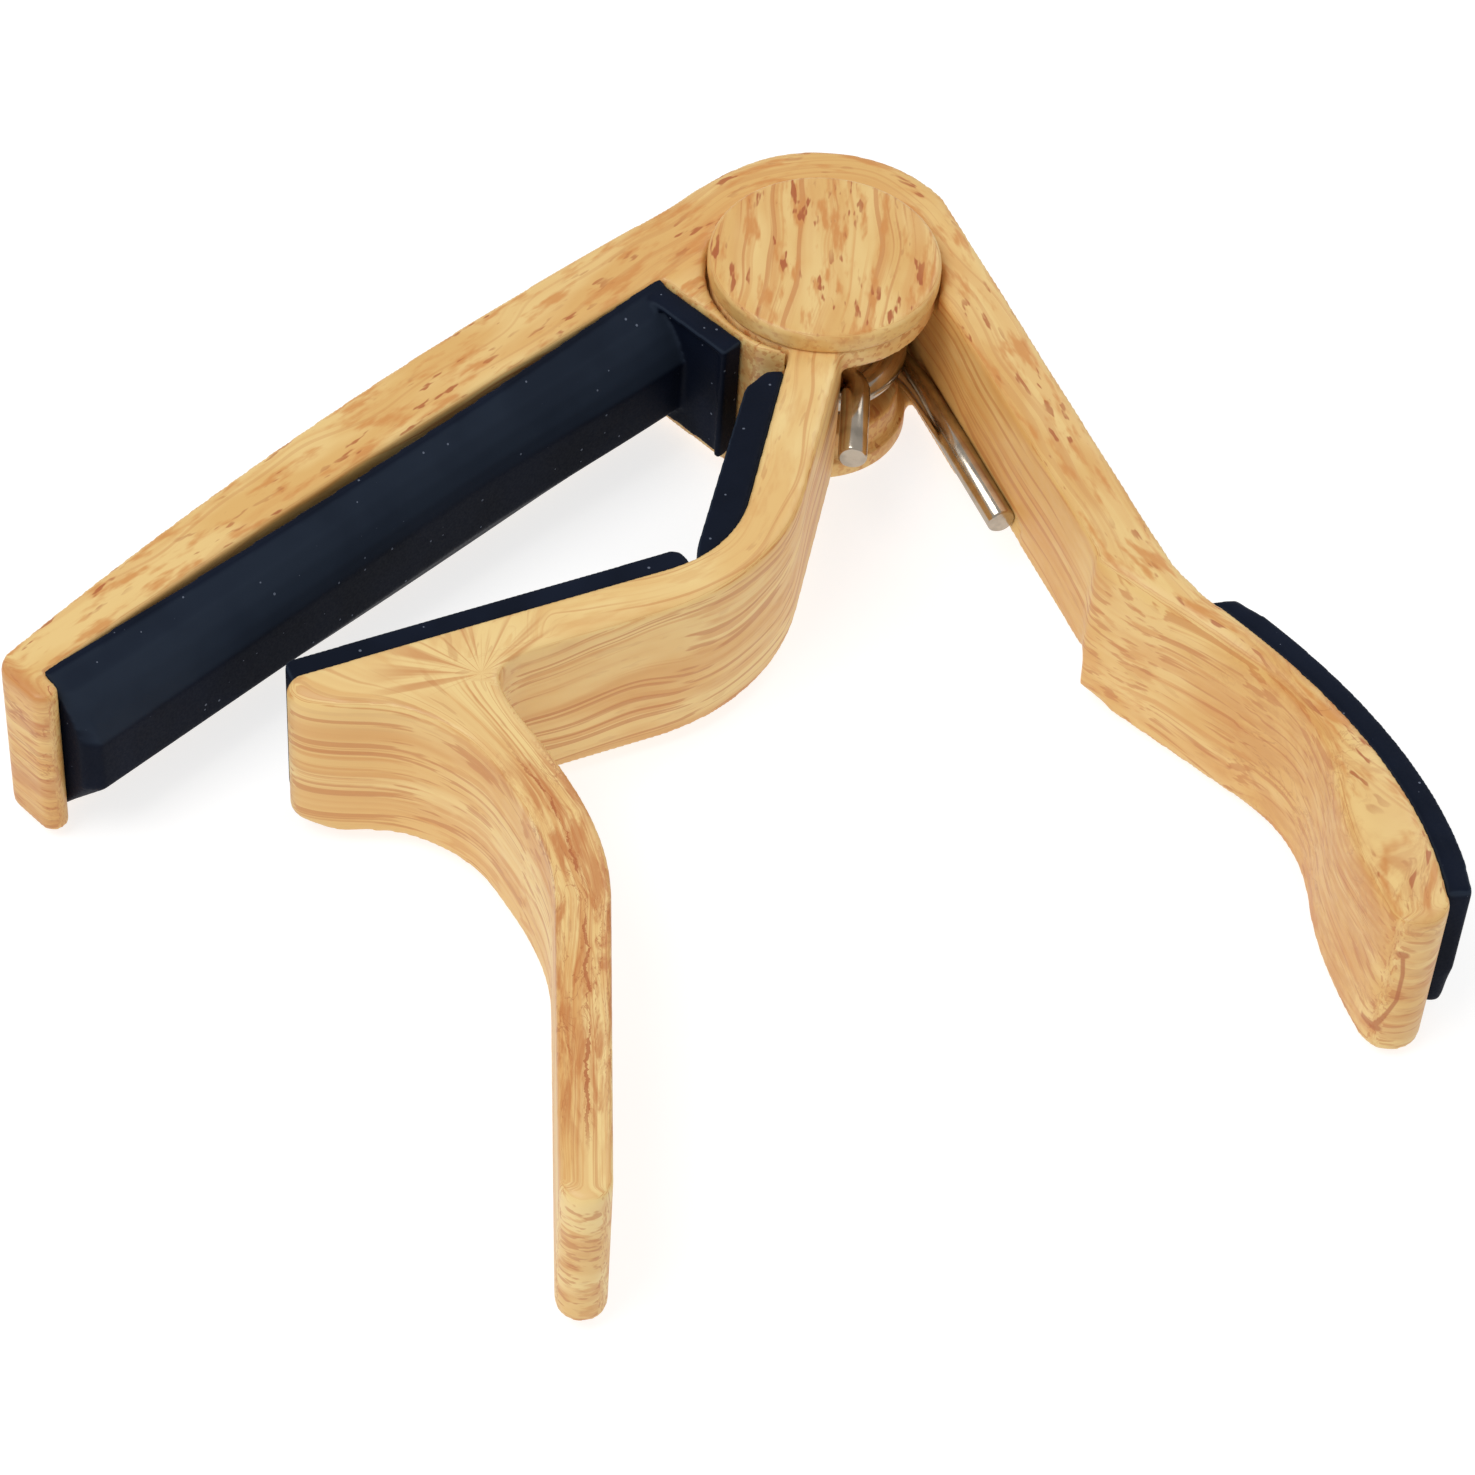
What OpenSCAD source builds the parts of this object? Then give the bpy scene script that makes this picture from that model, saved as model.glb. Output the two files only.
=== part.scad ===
// Trigger-style spring clamp capo for a six-string guitar.
// It lies on its side: the hinge axis is +Z through the origin, and the hinge boss rests on z = 0.
// Plan coordinates (s, n) run along an arm from the hinge (s) and across it (n, to its left).

/* [Arms] */
// Width of both arms along the hinge axis
arm_w = 14.6; // [13.6:0.2:15.6]
// Height of the string arm's underside above the rest face
arm_z = 0.8; // [0.6:0.1:1]
// Height of the lever's underside above the rest face
lever_z = 1.3; // [1.1:0.1:1.5]
// Direction of the string bar
bar_angle = 228.8; // [227:0.2:231]
// Direction of the palm handle
handle_angle = -64.4; // [-66:0.2:-63]
// Direction of the lever's strap when closed
strap_angle = 261.9; // [261:0.1:263]

/* [String bar] */
// Distance from the hinge axis to the end of the bar
bar_len = 72.2; // [68:0.2:76]
// How far the bar's back bows outwards
bar_bow = 1.9; // [0.5:0.1:3]
// Distance from the hinge axis to the bar's back at the hinge
bar_back = 13; // [12.8:0.1:13.2]
// Distance from the hinge axis to the pad seat at the throat
seat_throat = 8.05; // [7.8:0.05:8.4]
// Distance from the hinge axis to the pad seat at the lip
seat_lip = 9.35; // [9:0.05:9.6]
// Distance from the hinge axis to the throat wall
throat_s = 9.6; // [9.4:0.1:10]
// Thickness of the lip that holds the pad's end
lip_t = 2.1; // [1.8:0.1:2.4]

/* [Palm handle] */
// Distance from the hinge axis to the handle's inner face
handle_in = 7.4; // [7.2:0.1:7.6]
// Distance from the hinge axis to the handle's outer face
handle_out = 12.2; // [11.8:0.1:12.4]
// Where the slim part ends and the wide grip begins
grip_s = 34.2; // [33:0.2:36]
// Underside of the slim part of the handle, and top of the hinge boss
slim_z = 4.2; // [4:0.1:4.4]

/* [Hinge] */
// Radius of the round back of the hinge head
head_r = 11.4; // [11.2:0.1:11.6]
// How far the head's round back sits behind the hinge axis
head_off = 2.5; // [2.3:0.1:2.7]
// Radius of the spring pocket
pocket_r = 7.6; // [7.4:0.1:7.8]
// Radius of the lever's round ear
ear_r = 8.8; // [8.6:0.1:8.9]
// Thickness of the lever's round ear
ear_t = 2.05; // [1.9:0.05:2.3]
// Radius of the hinge cap
cap_r = 9; // [8.9:0.1:9.2]
// Thickness of the hinge cap
cap_t = 1.8; // [1.5:0.1:2.2]
// Radius of the flange under the hinge boss
foot_r = 7.3; // [6.9:0.1:7.4]
// Radius of the hinge boss
boss_r = 6.6; // [6.4:0.1:6.8]
// Radius of the pivot pin's shank
pin_r = 2.5; // [2.2:0.1:2.6]

/* [Lever] */
// Distance from the hinge axis to the strap's jaw-side face
strap_left = 0.95; // [0.8:0.05:1.1]
// Thickness of the strap and the neck cradle
lever_t = 3.9; // [3.7:0.1:4.1]
// Radius inside the bend between strap and cradle
bend_r = 10; // [9:0.5:11]
// Length of the straight strap from the hinge axis to the bend
strap_len = 24.8; // [24:0.2:25.6]
// Angle between strap and cradle
bend_angle = 55.1; // [53:0.5:57]
// Length of the neck cradle beyond the bend
cradle_len = 29.1; // [28:0.2:29.6]
// Thickness of the finger lever at its root
finger_t = 4.1; // [3.8:0.1:4.4]
// Thickness of the finger lever at its tip
finger_tip_t = 3.6; // [3.2:0.1:4]
// Distance from the hinge axis to the tip of the finger lever
finger_len = 89.4; // [84:0.2:94]

/* [Spring] */
// Radius of the spring wire
wire_r = 1.12; // [1:0.02:1.14]
// Radius of the coil's centreline
coil_r = 5.9; // [5.85:0.05:5.95]
// Height of the leg that bears on the handle
handle_leg_z = 5.6; // [5.5:0.1:5.8]
// Height of the leg that bears on the strap
strap_leg_z = 10; // [9.8:0.1:10.4]

/* [Pads] */
// Distance from the hinge axis to the string pad's crown
crown_n = 4.7; // [4.4:0.1:5.2]
// Width of the string pad's flat crown along the hinge axis
crown_w = 4.8; // [4:0.2:6]
// Thickness of the string pad's throat flange
flange_t = 2; // [1.6:0.1:2.2]
// How far the throat flange reaches past the bar's centre line
flange_end = 0.7; // [0.4:0.1:1.4]
// Height of the throat flange's lower edge above the rest face
flange_z0 = 3.4; // [2:0.1:4.4]
// Thickness of the cradle pad
cradle_pad_t = 2; // [1.6:0.1:2.2]
// Thickness of the throat pad
throat_pad_t = 2.6; // [2.2:0.1:2.8]
// Thickness of the grip pad
grip_pad_t = 2; // [1.7:0.1:2.4]

/* [Hidden] */
$fn = 96;

over = 1;                        // how far a cutter runs past what it cuts
glue = 0.03;                     // gap between a pad and its seat
run = 0.05;                      // running clearance, radial and axial
press = 0.02;                    // interference of a pressed fit
step = 0.05;                     // the slim part is set in by this from the head and the grip
top_z = arm_z + arm_w;           // top of both arms
ear_z = top_z - run - ear_t;     // underside of the lever's ear
foot_t = 1.6;                    // thickness of the flange under the boss
washer_t = 0.4;
head_seat_z = top_z - 1.15;      // floor of the pin head's counterbore
pin_head_r = 4.2;
pin_head_t = 1.3;
pin_head_z = head_seat_z + washer_t + run;
hub_r = 4.6;                     // outside of the tube that the spring is wound round
strap_gap = 0.07;                // closed lever to its stop
root_r = 7.5;                    // the strap's inner end clears the boss and the coil
pad_inset = 0.45;                // pads are narrower than the arms by this at each edge
lip_s = bar_len - lip_t;         // where the pad ends and the lip begins
reach = 60;                      // larger than the hinge head
head_end_s = 11.2;               // where the full-height head ends and the slim handle begins
zero = [0, 0];

// ---- plane geometry ----

function unit(v) = v / norm(v);

// point at distance s along direction a and n to its left
function at(a, s, n) = [cos(a) * s - sin(a) * n, sin(a) * s + cos(a) * n];

function arc(c, r, a0, a1, steps = 12) =
    [for (i = [0:steps]) c + at(a0 + (a1 - a0) * i / steps, r, 0)];

// line from a to b that bows out to its right by bow
function bowed(a, b, bow, steps = 24) =
    let (side = unit([b[1] - a[1], a[0] - b[0]]))
    [for (i = [0:steps]) let (t = i / steps) a + (b - a) * t + side * bow * 4 * t * (1 - t)];

function bezier(a, b, c, d, steps = 20) =
    [for (i = [0:steps]) let (t = i / steps, u = 1 - t)
        a * u * u * u + b * 3 * t * u * u + c * 3 * t * t * u + d * t * t * t];

function left_of(p, i) =
    let (d = unit(p[min(i + 1, len(p) - 1)] - p[max(i - 1, 0)])) [-d[1], d[0]];

// the path moved sideways by n, to its left
function shifted(p, n) = [for (i = [0:len(p) - 1]) p[i] + left_of(p, i) * n];

function reversed(p) = [for (i = [len(p) - 1:-1:0]) p[i]];

module slab(z0, z1) {
    translate([0, 0, z0])
        linear_extrude(z1 - z0)
            children();
}

// ---- string arm: string bar, hinge head and palm handle in one casting ----

seat_bow = 0.6;                  // how far the pad's seat is hollow along its length
bar_taper = 0.3;                 // the bar's back closes in by this towards the lip
nose_r = 1.8;                    // outer corner of the lip
nose_n = bar_taper + nose_r - bar_back;
lip_r = lip_t / 2;
lip_n = -8.2;
seat = bowed([lip_s, -seat_lip], [throat_s, -seat_throat], -seat_bow);

module bar_plan() {
    rotate(bar_angle)
        polygon(concat(
            bowed([0, -bar_back], [bar_len - nose_r, nose_n - nose_r], bar_bow),
            arc([bar_len - nose_r, nose_n], nose_r, -90, 0),
            arc([bar_len - lip_r, lip_n], lip_r, 0, 180),
            seat,
            [zero]
        ));
}

// the space the lever swings through, between its stop and the handle
module swing_plan() {
    polygon([
        at(strap_angle, 0, -strap_left - strap_gap),
        at(strap_angle, reach, -strap_left - strap_gap),
        at(handle_angle, head_end_s + over, handle_in),
        at(handle_angle, 0, handle_in)
    ]);
}

wall_n = 4.2;                    // how far the throat wall reaches past the bar's centre line
wall_bevel = [1.3, 1.8];         // bevel at the wall's end
behind = 5;                      // how far blocks reach behind the hinge axis, inside the head

module head_plan() {
    difference() {
        union() {
            translate([0, head_off])
                circle(head_r);
            rotate(bar_angle)
                polygon([
                    [-behind, -bar_back + nose_r],
                    [throat_s, -bar_back + nose_r],
                    [throat_s, wall_n - wall_bevel[1]],
                    [throat_s - wall_bevel[0], wall_n],
                    [-behind, wall_n]
                ]);
            rotate(handle_angle)
                translate([-behind, 0])
                    square([head_end_s + behind, handle_out + over]);
        }
        rotate(bar_angle)
            translate([throat_s, -seat_throat])
                square(reach);
        rotate(handle_angle)
            translate([-reach / 2, handle_out])
                square(reach);
    }
}

module slim_plan() {
    begin = head_end_s - over;
    finish = grip_s + over / 2;
    rotate(handle_angle)
        translate([begin, handle_in + step])
            square([finish - begin, handle_out - handle_in - 2 * step]);
}

tip_r = 2.3;
tip_c = [71.2, 14.3];
grip_back = bezier(tip_c + [0, tip_r], [63.5, 19.3], [52.5, 18.4], [40.5, 13], 28);

module grip_plan() {
    rotate(handle_angle)
        polygon(concat(
            [[grip_s, handle_in - 0.5]],
            bezier([47.5, 13.2], [51.5, 15.3], [55, 15.7], [59.6, 13.9]),
            bezier([59.6, 13.9], [62.8, 12.7], [66.5, 12.1], tip_c - [0, tip_r]),
            arc(tip_c, tip_r, -70, 70),
            grip_back,
            [[37, handle_out], [grip_s, handle_out]]
        ));
}

// the spring's handle leg lies in a shallow groove along the handle's inner face
leg_n = handle_in - 0.75;
leg_s = 20.7;                    // reach of the handle leg from the hinge axis
leg_turn_s = 7;                  // where the leg begins to turn into the coil
groove_s = 3;
groove_end_s = leg_s + 1.5;

module leg_groove() {
    rotate(handle_angle)
        translate([groove_s, leg_n, handle_leg_z])
            rotate([0, 90, 0])
                cylinder(r = wire_r + run, h = groove_end_s - groove_s);
}

module string_arm() {
    color("burlywood")
        difference() {
            union() {
                difference() {
                    union() {
                        slab(arm_z, top_z) {
                            difference() {
                                union() {
                                    bar_plan();
                                    head_plan();
                                }
                                swing_plan();
                            }
                            grip_plan();
                        }
                        slab(slim_z, top_z)
                            slim_plan();
                    }
                    slab(slim_z, top_z + over)
                        circle(pocket_r);
                    slab(ear_z - 0.1, top_z + over)
                        circle(cap_r + 0.1);
                    leg_groove();
                }
                cylinder(r = foot_r, h = foot_t);
                cylinder(r = boss_r, h = slim_z);
            }
            translate([0, 0, -over])
                cylinder(r = pin_r - press, h = slim_z + 2 * over);
        }
}

// ---- lever arm: ear, hub, strap, neck cradle and finger lever in one casting ----
// drawn with the strap along +X and the jaw on its right, then turned to strap_angle

bend_c = [strap_len, -strap_left - bend_r];
cradle_dir = at(-bend_angle, 1, 0);
cradle_start = bend_c + at(90 - bend_angle, bend_r, 0);
cradle_end = cradle_start + cradle_dir * cradle_len;
inner_side = concat([[0, -strap_left]], arc(bend_c, bend_r, 90, 90 - bend_angle), [cradle_end]);
outer_r = 18;                    // outside of the bend, a little flatter than its inside
outer_c = bend_c - at(90 - bend_angle / 2, (outer_r - bend_r - lever_t) / cos(bend_angle / 2), 0);
finger_end = [finger_len - finger_tip_t / 2, 0.6];
finger_path = concat(
    bezier([46.5, -18.4], [53, -11.8], [57.5, -6.4], [64, -4.8], 24),
    [finger_end]
);
finger_first = 10;               // point of the path where the lever leaves the cradle on the jaw side
fillet_first = 7;                // and on the other side
fillet_s = 12.2;                 // where the fillet starts on the cradle's outer face

// half the finger lever's thickness at point i of its path
function finger_half(i) =
    let (t = (finger_path[i][0] - finger_path[0][0]) / (finger_len - finger_path[0][0]))
    (finger_t + (finger_tip_t - finger_t) * t) / 2;

// edge of the finger lever at point i of its path: side 1 is away from the jaw, -1 towards it
function finger_edge(i, side) = finger_path[i] + left_of(finger_path, i) * side * finger_half(i);

module lever_plan() {
    count = len(finger_path) - 1;
    turn = atan2(left_of(finger_path, count)[1], left_of(finger_path, count)[0]);
    fillet_start = cradle_start + at(90 - bend_angle, lever_t, 0) + cradle_dir * fillet_s;
    polygon(concat(
        inner_side,
        [cradle_end + [0.7, -0.3]],
        bezier(cradle_end + [1.6, 0], [50, -20.5], [51, -16], finger_edge(finger_first, -1)),
        [for (i = [finger_first + 1:count - 1]) finger_edge(i, -1)],
        arc(finger_end, finger_half(count), turn - 180, turn),
        [for (i = [count - 1:-1:fillet_first + 1]) finger_edge(i, 1)],
        bezier(finger_edge(fillet_first, 1), [46.8, -15.3], [45.3, -15.9], fillet_start, 10),
        reversed(arc(outer_c, outer_r, 90, 90 - bend_angle)),
        [[0, lever_t - strap_left]]
    ));
}

module lever_arm() {
    lever_top = top_z - run;
    color("burlywood")
        difference() {
            union() {
                difference() {
                    rotate(strap_angle)
                        slab(lever_z, lever_top)
                            lever_plan();
                    slab(0, ear_z)
                        circle(root_r);
                }
                slab(ear_z, lever_top)
                    circle(ear_r);
                slab(slim_z + washer_t + run, ear_z + over / 2)
                    circle(hub_r);
            }
            slab(arm_z, top_z + over)
                circle(pin_r + run);
            slab(head_seat_z, top_z + over)
                circle(pin_head_r + 0.3);
        }
}

// ---- hinge hardware ----

module hinge_cap() {
    edge = 0.6;
    color("burlywood")
        difference() {
            translate([0, 0, top_z])
                rotate_extrude()
                    polygon(concat(
                        [zero, [cap_r - 0.2, 0], [cap_r, 0.2]],
                        arc([cap_r - edge, cap_t - edge], edge, 0, 90, 6),
                        [[0, cap_t]]
                    ));
            translate([0, 0, top_z - over])
                cylinder(r = pin_head_r - press, h = over + pin_head_z + pin_head_t - top_z);
        }
}

module pivot_pin() {
    bevel = 0.4;
    color("silver")
        rotate_extrude()
            polygon([
                zero,
                [pin_r - bevel, 0],
                [pin_r, bevel],
                [pin_r, pin_head_z],
                [pin_head_r, pin_head_z],
                [pin_head_r, pin_head_z + pin_head_t],
                [0, pin_head_z + pin_head_t]
            ]);
}

module washer(z, r) {
    color("silver")
        slab(z, z + washer_t)
            difference() {
                circle(r);
                circle(pin_r + 2 * run);
            }
}

module upper_washer() {
    washer(head_seat_z, pin_head_r);
}

module lower_washer() {
    washer(slim_z, hub_r);
}

// ---- torsion spring ----

bend_wire_r = 1.8;               // bend from the coil into the strap leg
bend_start_a = -80;              // where the wire leaves the coil
coil_start_a = handle_angle + 90;
coil_sweep = 720 + bend_start_a - coil_start_a;
strap_leg_s = 14.5;              // reach of the strap leg from the hinge axis

// plan points lifted to height z
function lift(p, z) = [for (q = p) [q[0], q[1], z]];

handle_leg = [for (q = concat(
    [[leg_s, leg_n]],
    bezier([leg_turn_s, leg_n], [4, leg_n], [2.5, coil_r], [0.3, coil_r], 8)
)) at(handle_angle, q[0], q[1])];

coil_steps = 68;
coil_path = [for (i = [0:coil_steps])
    let (t = i / coil_steps, p = at(coil_start_a + coil_sweep * t, coil_r, 0))
        [p[0], p[1], handle_leg_z + (strap_leg_z - handle_leg_z) * t]];

wire_bend_c = at(bend_start_a, coil_r + bend_wire_r, 0);
wire_bend = arc(wire_bend_c, bend_wire_r, 90, 0, 9);

wire_path = concat(
    lift(handle_leg, handle_leg_z),
    coil_path,
    lift(wire_bend, strap_leg_z),
    [[wire_bend_c[0] + bend_wire_r, -strap_leg_s, strap_leg_z]]
);

function heading(p, i) =
    unit(p[min(i + 1, len(p) - 1)] - p[max(i - 1, 0)]);

// round wire swept along a path that never runs straight up
module wire(p, r, sides = 16) {
    rings = [for (i = [0:len(p) - 1])
        let (d = heading(p, i), side = unit(cross(d, [0, 0, 1])), up = cross(side, d))
            for (k = [0:sides - 1])
                p[i] + r * (cos(360 * k / sides) * side + sin(360 * k / sides) * up)];
    last = (len(p) - 1) * sides;
    walls = [for (i = [0:len(p) - 2], k = [0:sides - 1])
        let (m = (k + 1) % sides)
            [i * sides + k, i * sides + m, (i + 1) * sides + m, (i + 1) * sides + k]];
    ends = [[for (k = [sides - 1:-1:0]) k], [for (k = [0:sides - 1]) last + k]];
    polyhedron(rings, concat(walls, ends));
}

module torsion_spring() {
    color("silver")
        wire(wire_path, wire_r);
}

// ---- pads ----

pad_z0 = arm_z + pad_inset;
lever_pad_z0 = lever_z + pad_inset;
pad_z1 = top_z - pad_inset;

// crowned pad that presses on the strings, with a flange against the throat wall
module string_pad() {
    deep = 12;
    slope = (pad_z1 - pad_z0 - crown_w) / 2;
    pad_back = shifted(seat, -glue);
    color("darkslategray") {
        intersection() {
            rotate(bar_angle)
                slab(pad_z0, pad_z1)
                    polygon(concat(
                        pad_back,
                        [[throat_s + glue, -crown_n], [lip_s - glue - 0.6, -crown_n],
                            [lip_s - glue, -crown_n - 0.8]]
                    ));
            rotate(bar_angle)
                translate([0, 0, (pad_z0 + pad_z1) / 2])
                    rotate([90, 0, 90])
                        linear_extrude(bar_len)
                            polygon([
                                [-crown_n, crown_w / 2],
                                [-seat_throat - 0.6, crown_w / 2 + slope],
                                [-deep, crown_w / 2 + slope],
                                [-deep, -crown_w / 2 - slope],
                                [-seat_throat - 0.6, -crown_w / 2 - slope],
                                [-crown_n, -crown_w / 2]
                            ]);
        }
        rotate(bar_angle)
            slab(flange_z0, pad_z1)
                translate([throat_s + glue, -seat_throat])
                    square([flange_t, seat_throat + flange_end]);
    }
}

// where the throat pad ends and the cradle pad begins, as angles round the bend
pad_split_a = 48;
pad_split_gap = 2;

// pad on the strap's jaw side
module throat_pad() {
    face = -strap_left - glue;
    color("darkslategray")
        rotate(strap_angle)
            slab(lever_pad_z0, pad_z1 - 0.4)
                polygon(concat(
                    [[10.3, face]],
                    arc(bend_c, bend_r - glue, 90, pad_split_a),
                    [bend_c + at(pad_split_a + 8, bend_r - 1.4, 0), [26.4, face - throat_pad_t - 0.2],
                        [12.8, face - throat_pad_t], [10.7, face - 1.4]]
                ));
}

// pad that bears on the back of the neck
module cradle_pad() {
    begin_a = pad_split_a - pad_split_gap;
    finish = cradle_end;
    side = at(-bend_angle - 90, 1, 0);
    color("darkslategray")
        rotate(strap_angle)
            slab(lever_pad_z0, pad_z1 - 0.2)
                polygon(concat(
                    arc(bend_c, bend_r - glue, begin_a, 90 - bend_angle, 4),
                    [finish + side * glue, finish + side * (cradle_pad_t - 0.4),
                        finish + side * cradle_pad_t - cradle_dir * 0.4],
                    arc(bend_c, bend_r - cradle_pad_t, 90 - bend_angle, begin_a - 4, 4),
                    [bend_c + at(begin_a, bend_r - cradle_pad_t + 0.6, 0)]
                ));
}

// pad on the outside of the palm handle
module grip_pad() {
    under = shifted(grip_back, -glue);
    outside = shifted(grip_back, -grip_pad_t);
    color("darkslategray")
        rotate(handle_angle)
            slab(pad_z0 + 0.4, pad_z1)
                // the first point of the outside is left out, as a bevel towards the hinge
                polygon(concat(under, [for (i = [len(outside) - 2:-1:0]) outside[i]]));
}

string_arm();
lever_arm();
hinge_cap();
pivot_pin();
upper_washer();
lower_washer();
torsion_spring();
string_pad();
throat_pad();
cradle_pad();
grip_pad();
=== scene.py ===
"""Looks of the guitar capo: softened castings in a wood-grain film, silicone pads and a nickel spring.

Lengths are in millimetres until mm() or a factor of 0.001 turns them into metres, and angles are in
degrees. Plan coordinates (s, n) run along an arm from the hinge axis and across it, n to its left.
"""

import math

import bmesh
import bpy
import numpy as np
from mathutils import Matrix, Vector


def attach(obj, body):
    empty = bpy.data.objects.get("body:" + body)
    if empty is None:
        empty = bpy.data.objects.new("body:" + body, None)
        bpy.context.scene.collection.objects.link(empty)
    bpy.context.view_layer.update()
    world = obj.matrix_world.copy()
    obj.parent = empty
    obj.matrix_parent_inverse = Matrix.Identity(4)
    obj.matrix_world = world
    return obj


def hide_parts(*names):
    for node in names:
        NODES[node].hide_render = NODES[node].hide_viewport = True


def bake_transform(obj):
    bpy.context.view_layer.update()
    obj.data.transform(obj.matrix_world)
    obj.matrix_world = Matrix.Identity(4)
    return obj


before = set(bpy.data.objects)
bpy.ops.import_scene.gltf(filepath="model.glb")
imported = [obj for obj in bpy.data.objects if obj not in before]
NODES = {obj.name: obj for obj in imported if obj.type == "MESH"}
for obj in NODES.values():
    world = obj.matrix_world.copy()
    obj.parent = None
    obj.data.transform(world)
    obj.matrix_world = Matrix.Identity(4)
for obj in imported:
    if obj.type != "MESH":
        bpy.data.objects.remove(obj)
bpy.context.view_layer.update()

# ---- sizes shared with the CAD ----

BAR_ANGLE, HANDLE_ANGLE, STRAP_ANGLE = 228.8, -64.4, 261.9
BAR_LEN, LIP_T = 72.2, 2.1
SEAT_THROAT, SEAT_LIP, SEAT_BOW, THROAT_S = 8.05, 9.35, 0.6, 9.6
STRAP_LEFT, BEND_R, STRAP_LEN, BEND_ANGLE = 0.95, 10.0, 24.8, 55.1
CRADLE_LEN, FINGER_LEN = 29.1, 89.4
TOP_Z = 15.4
CAP_R, CAP_T, CAP_RECESS_R, CAP_RECESS_T = 9.0, 1.8, 4.18, 0.6
PAD_Z0, PAD_Z1 = 1.25, 14.95
WIRE_R, COIL_R = 1.12, 5.9
HANDLE_LEG_Z, STRAP_LEG_Z = 5.6, 10.0
LEG_N, LEG_S, LEG_TURN_S = 6.65, 20.7, 7.0
BEND_WIRE_R, BEND_START_A, STRAP_LEG_S = 1.8, -80.0, 14.5


# ---- plane geometry ----


def unit(angle):
    a = math.radians(angle)
    return np.array([math.cos(a), math.sin(a)])


def at(angle, s, n):
    """The plan point at distance s along a direction and n to its left."""
    d = unit(angle)
    return np.array([d[0] * s - d[1] * n, d[1] * s + d[0] * n])


def local(points, angle):
    """Plan points as (s, n) of an arm."""
    d = unit(angle)
    return points @ d, points @ np.array([-d[1], d[0]])


def arc(centre, radius, a0, a1, steps):
    return [np.array(centre) + radius * unit(a) for a in np.linspace(a0, a1, steps + 1)]


def bezier(a, b, c, d, steps):
    t = np.linspace(0, 1, steps + 1)[:, None]
    u = 1 - t
    a, b, c, d = (np.array(p, float) for p in (a, b, c, d))
    return list(a * u**3 + b * 3 * t * u * u + c * 3 * t * t * u + d * t**3)


def smoothstep(x, low, high):
    t = np.clip((x - low) / (high - low), 0, 1)
    return t * t * (3 - 2 * t)


def band(x, rise, fall):
    """1 between two soft edges, each given as where it starts and where it ends."""
    return smoothstep(x, *rise) * (1 - smoothstep(x, *fall))


def nearest(points, path):
    """Distance from each point to a polyline, the length along it, and the side it lies on."""
    path = np.array(path, float)
    best = np.full(len(points), np.inf)
    along = np.zeros(len(points))
    side = np.ones(len(points))
    start = 0.0
    for a, b in zip(path[:-1], path[1:]):
        d = b - a
        length = np.linalg.norm(d)
        t = np.clip((points - a) @ d / length**2, 0, 1)
        off = points - (a + t[:, None] * d)
        dist = np.linalg.norm(off, axis=1)
        closer = dist < best
        best = np.where(closer, dist, best)
        along = np.where(closer, start + t * length, along)
        side = np.where(closer, np.sign(d[0] * off[:, 1] - d[1] * off[:, 0]), side)
        start += length
    return best, along, side


# ---- mesh helpers ----


def mm(points):
    return np.array(points, float) * 0.001


def new_object(name, data):
    obj = bpy.data.objects.new(name, data)
    bpy.context.scene.collection.objects.link(obj)
    return obj


def mesh_from(name, verts, faces):
    mesh = bpy.data.meshes.new(name)
    mesh.from_pydata([tuple(v) for v in mm(verts)], [], faces)
    bm = bmesh.new()
    bm.from_mesh(mesh)
    bmesh.ops.recalc_face_normals(bm, faces=bm.faces)
    bm.to_mesh(mesh)
    bm.free()
    return new_object(name, mesh)


def coords(mesh):
    co = np.zeros(len(mesh.vertices) * 3, np.float32)
    mesh.vertices.foreach_get("co", co)
    return co.reshape(-1, 3).astype(float) * 1000


def set_coords(mesh, co):
    mesh.vertices.foreach_set("co", (co * 0.001).astype(np.float32).ravel())
    mesh.update()


def apply_modifiers(obj):
    dg = bpy.context.evaluated_depsgraph_get()
    mesh = bpy.data.meshes.new_from_object(obj.evaluated_get(dg), depsgraph=dg)
    obj.modifiers.clear()
    obj.data = mesh


def remeshed(obj, voxel):
    m = obj.modifiers.new("remesh", "REMESH")
    m.mode = "VOXEL"
    m.voxel_size = voxel * 0.001
    apply_modifiers(obj)
    return obj


def smoothed(obj, passes, weight=None):
    """Smooth an object all over, or as far as a weight of 0 to 1 for each vertex says."""
    m = obj.modifiers.new("smooth", "SMOOTH")
    m.factor = 0.5
    m.iterations = passes
    if weight is not None:
        group = obj.vertex_groups.new(name="soft")
        for level in range(1, 11):
            chosen = np.nonzero(np.round(weight * 10) == level)[0]
            group.add([int(i) for i in chosen], level / 10, "REPLACE")
        m.vertex_group = "soft"
    apply_modifiers(obj)
    obj.vertex_groups.clear()
    return obj


def softened(node, name, voxel, passes):
    """A copy of a CAD node, remeshed evenly, with its edges rounded as a coated casting's are."""
    mesh = NODES[node].data.copy()
    mesh.materials.clear()
    return smoothed(remeshed(new_object(name, mesh), voxel), passes)


def joined(objs, name):
    """One object out of several, which overlap and stay separate shells."""
    mesh = bpy.data.meshes.new(name)
    bm = bmesh.new()
    for o in objs:
        bm.from_mesh(o.data)
        bpy.data.objects.remove(o)
    bm.to_mesh(mesh)
    bm.free()
    return new_object(name, mesh)


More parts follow.
